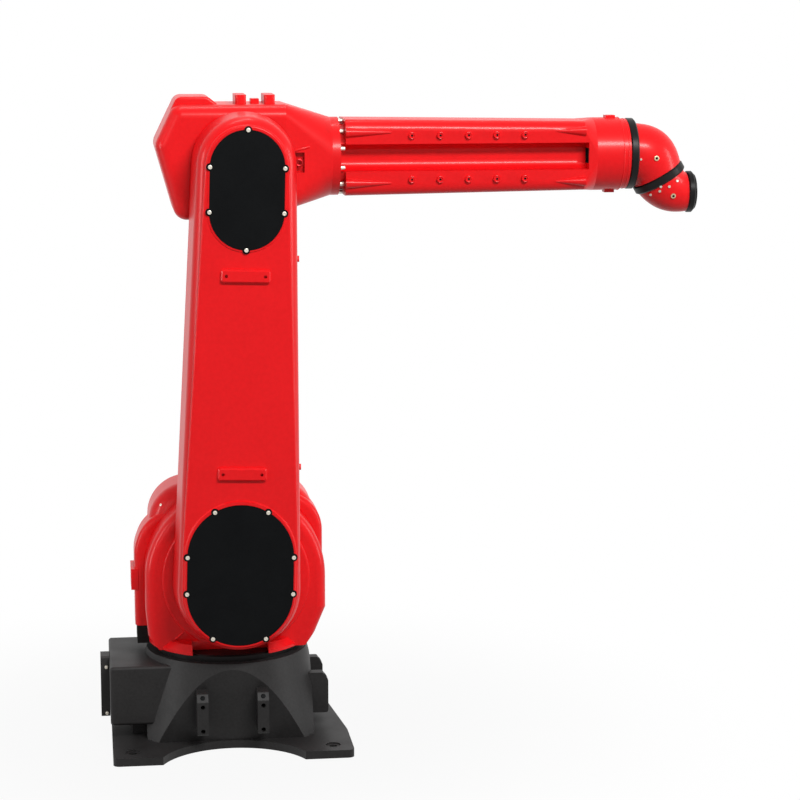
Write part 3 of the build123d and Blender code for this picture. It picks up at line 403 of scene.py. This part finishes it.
def cover_lip(name, radius, low, rise, profile):
    """Red lip around a cover. Each step of its profile goes wider, up or down, and over the upper arch."""
    gap, sunk, segments, hair = 1.0, 3.0, 72, 1e-6
    bm = bmesh.new()
    reach = radius + gap
    bmesh.ops.create_circle(bm, radius=reach * MM, segments=segments)
    bmesh.ops.translate(bm, verts=bm.verts, vec=(0, 0, -sunk * MM))
    first = ring = bm.edges[:]
    arches = []
    for wider, up, over in profile:
        step = bmesh.ops.extrude_edge_only(bm, edges=ring)["geom"]
        verts = [v for v in step if isinstance(v, bmesh.types.BMVert)]
        edges = [e for e in step if isinstance(e, bmesh.types.BMEdge)]
        ring = [e for e in edges if all(v in verts for v in e.verts)]
        grow = (reach + wider) / reach
        reach += wider
        bmesh.ops.scale(bm, verts=verts, vec=(grow, grow, 1))
        bmesh.ops.translate(bm, verts=verts, vec=(0, 0, up * MM))
        arches.append((verts, over))
    bmesh.ops.bridge_loops(bm, edges=first + ring)
    upper = [v for v in bm.verts if v.co.y > hair]
    bmesh.ops.translate(bm, verts=upper, vec=(0, rise * MM, 0))
    for verts, over in arches:
        bmesh.ops.translate(bm, verts=[v for v in verts if v in upper], vec=(0, over * MM, 0))
    seat = Matrix.Translation(arm_point(0, low, COVER_SEAT_Y) * MM)
    place = seat @ Matrix.Rotation(ARM_LEAN, 4, "Y") @ standing((0, 0, 0), NEAR)
    row_of(name, bm, [place], "lower_arm", "red_casting", red_enamel)


def cover_lips():
    shoulder = ((0, 6.4, 0), (3, 0, 4), (5, -5.9, 4))
    cover_lip("shoulder_cover_lip", SHOULDER_COVER_RADIUS, 0, SHOULDER_COVER_RISE, shoulder)
    elbow = ((0, 5.6, 0), (3, 0, 2), (1.5, -5.1, 2))
    cover_lip("elbow_cover_lip", ELBOW_COVER_RADIUS, ELBOW_COVER_LOW, ELBOW_COVER_DROP, elbow)


# Forearm

def forearm_flange_screws():
    places = []
    for degrees in range(15, 360, 30):
        turn = math.radians(degrees)
        y, rise = FLANGE_SCREW_CIRCLE * math.cos(turn), FLANGE_SCREW_CIRCLE * math.sin(turn)
        places.append(standing((FLANGE_FACE_X, y, FOREARM_Z + rise), FORWARD))
    row_of("forearm_flange_screws", cap_screw(*FLANGE_SCREW), places, "forearm", "port_metal", zinc_plate)


def clip_bosses():
    """Rounded lips of the clip bosses on both sides, and near-black discs at the floor of the drilled ones'
    bores, which paint the bores' shade.
    """
    inset, thickness, steps = 1.0, 1.3, 28
    lips, bore_shades = [], []
    for number in range(CLIP_COUNT):
        for rise in (-CLIP_OFFSET, CLIP_OFFSET):
            x, z = CLIP_START + number * CLIP_PITCH, FOREARM_Z + rise
            lips += [standing((x, side * -CLIP_FACE_Y, z), (0, side, 0)) for side in SIDES]
            bore_shades.append(standing((x, CLIP_HOLE_FLOOR_Y, z), NEAR))
    lip = bead(CLIP_RADIUS - inset, thickness, steps)
    row_of("clip_boss_lips", lip, lips, "forearm", "red_casting", red_enamel)
    # Painted shade: a near-black disc sits at the floor of each drilled bore.
    bore_shade = cap_screw(*CLIP_BORE_SHADE, wall=BORE_SHADE_WALL)
    row_of("clip_bore_shade_discs", bore_shade, bore_shades, "forearm", "black_ring", black_anodised_and_painted_shade)


def collar_lips():
    """Rounded edges of the forearm's collar and of the wrist seat that stands on its end."""
    inset, thickness, steps = 0.6, 1.4, 96
    for name, x, radius in (
        ("collar_lip", COLLAR_END, COLLAR_RADIUS),
        ("wrist_seat_lip", WRIST_SEAT_EDGE, WRIST_SEAT_RADIUS),
    ):
        place = standing((x, 0, FOREARM_Z), FORWARD)
        row_of(name, bead(radius - inset, thickness, steps), [place], "forearm", "red_casting", red_enamel)


def hose_opening_shade_liners():
    """Black rubber liners of the two openings at the wrist end of the forearm's grooves, whose black paints
    the shade inside the openings.
    """
    length, width, height = 30 * MM, 31.6 * MM, 33.6 * MM
    wall, taper, depth, softness = 3 * MM, 1 * MM, 26 * MM, 1 * MM
    setback = 14
    bm = bmesh.new()
    bmesh.ops.create_cube(bm, size=1, matrix=Matrix.Diagonal((length, width, height, 1)))
    mouth = min(bm.faces, key=lambda face: face.calc_center_median().x)
    rim = list(mouth.edges)
    bmesh.ops.inset_region(bm, faces=[mouth], thickness=wall)
    bmesh.ops.inset_region(bm, faces=[mouth], thickness=taper, depth=-depth)
    bmesh.ops.bevel(bm, geom=rim, offset=softness, affect="EDGES", segments=2, profile=0.5, material=-1)
    places = []
    for side in SIDES:
        middle = Vector((GROOVE_END + setback, side * GROOVE_MIDDLE_Y, FOREARM_Z))
        places.append(Matrix.Translation(middle * MM))
    # Painted shade: the liners' black darkens the two openings.
    row_of("hose_opening_shade_liners", bm, places, "forearm", "bumper_rubber", neoprene)


def elbow_port_lip():
    """Rolled end of the air fitting in the elbow's recess."""
    radius, thickness, steps = 6.6, 2.0, 28
    place = standing(port_end(), NEAR)
    # Painted reflection: the fitting's red stands for the red casting mirrored in it.
    row_of("elbow_port_lip", bead(radius, thickness, steps), [place], "forearm", "port_metal", red_reflection_metal)


def face_rib(name, node, body, x, z, length, width, slope):
    """Short thin rib that stands on a casting's near face, half sunk, at a slope in degrees."""
    depth, softness = 5.6, width * 0.4
    bm = bmesh.new()
    bmesh.ops.create_cube(bm, size=1, matrix=Matrix.Diagonal((length * MM, width * MM, depth * MM, 1)))
    bmesh.ops.bevel(
        bm, geom=bm.edges[:], offset=softness * MM, affect="EDGES", segments=3, profile=0.5, material=-1
    )
    place = flank_seat(node, x, z) @ Matrix.Rotation(math.radians(slope), 4, "Z")
    row_of(name, bm, [place], body, "red_casting", red_enamel)


def casting_ribs():
    """Thin ribs above the air fitting's recess and beside the foot of the turret's raised ring."""
    forward, rise = 6, 30
    x, _, z = port_end()
    face_rib("recess_rib", "elbow_casting", "forearm", x + forward, z + rise, length=38, width=5, slope=14)
    face_rib("turret_rib", "swivel_casting", "turret", *TURRET_RIB_SPOT, length=24, width=4, slope=40)


# Wrist

def wrist_fasteners():
    # Painted shade: each plug's socket takes the near-black finish.
    plug = [flank_seat("roll_body", *ROLL_PLUG_SPOT)]
    row_of(
        "roll_body_plug", cap_screw(*WRIST_PLUG, socket=1), plug, "wrist_roll_head", "port_metal",
        nickel_brass, black_anodised_and_painted_shade,
    )
    plug = [flank_seat("bend_body", *BEND_PLUG_SPOT)]
    row_of(
        "bend_body_plug", cap_screw(*WRIST_PLUG, socket=1), plug, "wrist_bend_head", "port_metal",
        nickel_brass, black_anodised_and_painted_shade,
    )
    screws = [flank_seat("roll_body", *ROLL_SCREW_SPOT, side) for side in SIDES]
    row_of("roll_body_screws", cap_screw(*ROLL_SCREW), screws, "wrist_roll_head", "port_metal", zinc_plate)
    screws = [flank_seat("bend_body", x, z, side) for x, z in BEND_SCREW_SPOTS for side in SIDES]
    row_of("bend_body_screws", cap_screw(*BEND_SCREW), screws, "wrist_bend_head", "port_metal", zinc_plate)


# Motors, turret and pedestal

def motor_screws():
    """Four screws in a square on each motor's flange."""
    for name, body, x, z, face_y, reach in (
        ("shoulder_motor_screws", "turret", SHOULDER_X, SHOULDER_Z, 166, 62),
        ("elbow_motor_screws", "forearm", ELBOW_X, ELBOW_Z, 138, 47),
    ):
        corners = [(x + across * reach, z + up * reach) for across in SIDES for up in SIDES]
        places = [standing((corner_x, face_y, corner_z), FAR) for corner_x, corner_z in corners]
        row_of(name, cap_screw(*MOTOR_SCREW), places, body, "port_metal", zinc_plate)


def small_bosses():
    """The turret's small bolt, the two bosses on the arm's front edge and the connector's pegs."""
    edge_y, edge_rises = -180, (1103, 643)
    peg_x, peg_rises = -276, (160, 52)
    bolt = [flank_seat("swivel_casting", *TURRET_BOLT_SPOT)]
    row_of("turret_bolt", cap_screw(*TURRET_BOLT), bolt, "turret", "port_metal", zinc_plate)
    edge = [seat_on("lower_arm_casting", (OUTSIDE, edge_y, z), REARWARD) for z in edge_rises]
    # Painted shade: the near-black finish fills each boss's socket.
    row_of(
        "arm_edge_bosses", cap_screw(*ARM_EDGE_BOSS, socket=1), edge, "lower_arm", "red_casting",
        red_enamel, black_anodised_and_painted_shade,
    )
    pegs = [flank_seat("connector_shell", peg_x, z, side) for z in peg_rises for side in SIDES]
    row_of("connector_pegs", cap_screw(*CONNECTOR_PEG), pegs, "pedestal", "port_metal", zinc_plate)


def pad_hole_shade_screws():
    """Black screw heads in the holes of the bracket pads' sloping heads on three sides of the cone; their
    black paints the shade of the holes.
    """
    rise, spread = 135, (-67, 67)
    places = [flank_seat("base_casting", x, rise, side) for side in SIDES for x in spread]
    places += [seat_on("base_casting", (OUTSIDE, y, rise), REARWARD) for y in spread]
    # Painted shade: the black heads darken the pad holes.
    row_of("pad_hole_shade_screws", cap_screw(*PAD_HOLE_SHADE), places, "pedestal", "black_cover", black_abs)


cover_screws()
clip_bosses()
collar_lips()
cover_lips()
elbow_port_lip()
casting_ribs()
hose_opening_shade_liners()
pad_hole_shade_screws()
forearm_flange_screws()
wrist_fasteners()
motor_screws()
small_bosses()


# Studio

WHITE = (1, 1, 1, 1)
FLOOR_RADIUS = 14
SHADOW_START, SHADOW_END, SHADOW_WHITE = 0.3, 1.3, 0.93
WORLD_LIGHT, WORLD_SEEN = 0.16, 1.0
CAMERA_PLACE = (-0.3000, -5.3995, 1.6681)
CAMERA_TILT, CAMERA_YAW = math.radians(80.5), math.radians(-7.4)
SENSOR_WIDTH, FOCAL_LENGTH, FAR_CLIP = 36, 108.9, 100

# Name, place, target, width and height in metres, power in watts, and whether gloss mirrors the lamp
LAMPS = (
    ("key_softbox", (1.5, -4.0, 4.0), (0.1, 0, 0.8), (2.2, 0.7), 255, True),
    ("top_softbox", (-0.2, 0.3, 4.5), (0.1, 0, 0.9), (2.2, 0.5), 32, True),
    ("fill_softbox", (-3.4, -3.8, 2.4), (0.1, 0, 0.8), (2.0, 2.6), 30, True),
    ("left_strip", (-4.4, -0.9, 1.4), (0, 0, 0.9), (0.8, 2.8), 82, True),
    ("right_strip", (4.4, -0.9, 1.4), (0, 0, 0.9), (0.8, 2.8), 72, True),
    ("back_softbox", (1.4, 4.4, 3.2), (0.2, 0, 0.8), (2.4, 2.4), 130, False),
)


def seen_directly(tree):
    """1 for rays from the lens, from gloss and through glass, and 0 for those that light the object."""
    path = add(tree, "LightPath").outputs
    largest = {"operation": "MAXIMUM"}
    seen = add(tree, "Math", largest, links={0: path["Is Camera Ray"], 1: path["Is Glossy Ray"]})
    seen = add(tree, "Math", largest, links={0: seen.outputs[0], 1: path["Is Transmission Ray"]})
    return seen.outputs[0]


def studio_floor():
    bm = bmesh.new()
    bmesh.ops.create_circle(bm, cap_ends=True, radius=FLOOR_RADIUS, segments=64)
    mesh = bpy.data.meshes.new("studio_floor")
    bm.to_mesh(mesh)
    bm.free()
    floor = bpy.data.objects.new("studio_floor", mesh)
    bpy.context.scene.collection.objects.link(floor)
    # Pale paper sweep: white to the lens, with only a faint shadow that fades out around the plate
    material = bpy.data.materials.new("pale_paper_sweep")
    tree = empty_tree(material)
    seen = seen_directly(tree)
    place = add(tree, "TexCoord").outputs["Object"]
    away = add(tree, "VectorMath", {"operation": "LENGTH"}, links={0: place})
    fade = add(
        tree, "MapRange", {"interpolation_type": "SMOOTHSTEP"},
        {"From Min": SHADOW_START, "From Max": SHADOW_END, "To Min": SHADOW_WHITE, "To Max": 1.0},
        {"Value": away.outputs["Value"]},
    )
    share = add(tree, "Math", {"operation": "MULTIPLY"}, links={0: seen, 1: fade.outputs["Result"]})
    paper = add(tree, "BsdfDiffuse", values={"Color": linear("#7c7c7a")})
    glow = add(tree, "Emission", values={"Color": WHITE, "Strength": 1.0})
    both = add(tree, "MixShader", links={0: share.outputs[0], 1: paper.outputs[0], 2: glow.outputs[0]})
    add(tree, "OutputMaterial", links={"Surface": both.outputs[0]})
    floor.data.materials.append(material)


def studio_world():
    world = bpy.data.worlds.new("white_studio")
    bpy.context.scene.world = world
    tree = empty_tree(world)
    strength = add(
        tree, "MapRange", values={"To Min": WORLD_LIGHT, "To Max": WORLD_SEEN},
        links={"Value": seen_directly(tree)},
    )
    sky = add(tree, "Background", values={"Color": WHITE}, links={"Strength": strength.outputs["Result"]})
    add(tree, "OutputWorld", links={"Surface": sky.outputs[0]})


def softbox(name, place, target, size, power, mirrored):
    light = bpy.data.lights.new(name, "AREA")
    light.shape = "RECTANGLE"
    light.size, light.size_y = size
    light.energy = power
    lamp = bpy.data.objects.new(name, light)
    lamp.location = place
    lamp.rotation_euler = (Vector(target) - Vector(place)).to_track_quat("-Z", "Y").to_euler()
    lamp.visible_glossy = mirrored
    bpy.context.scene.collection.objects.link(lamp)


def studio_camera():
    lens = bpy.data.cameras.new("photo_view")
    lens.sensor_width = SENSOR_WIDTH
    lens.lens = FOCAL_LENGTH
    lens.clip_end = FAR_CLIP
    camera = bpy.data.objects.new("photo_view", lens)
    camera.location = CAMERA_PLACE
    camera.rotation_euler = (CAMERA_TILT, 0, CAMERA_YAW)
    bpy.context.scene.collection.objects.link(camera)
    bpy.context.scene.camera = camera


studio_floor()
studio_world()
for lamp_settings in LAMPS:
    softbox(*lamp_settings)
studio_camera()
bpy.context.scene.view_settings.view_transform = "Standard"
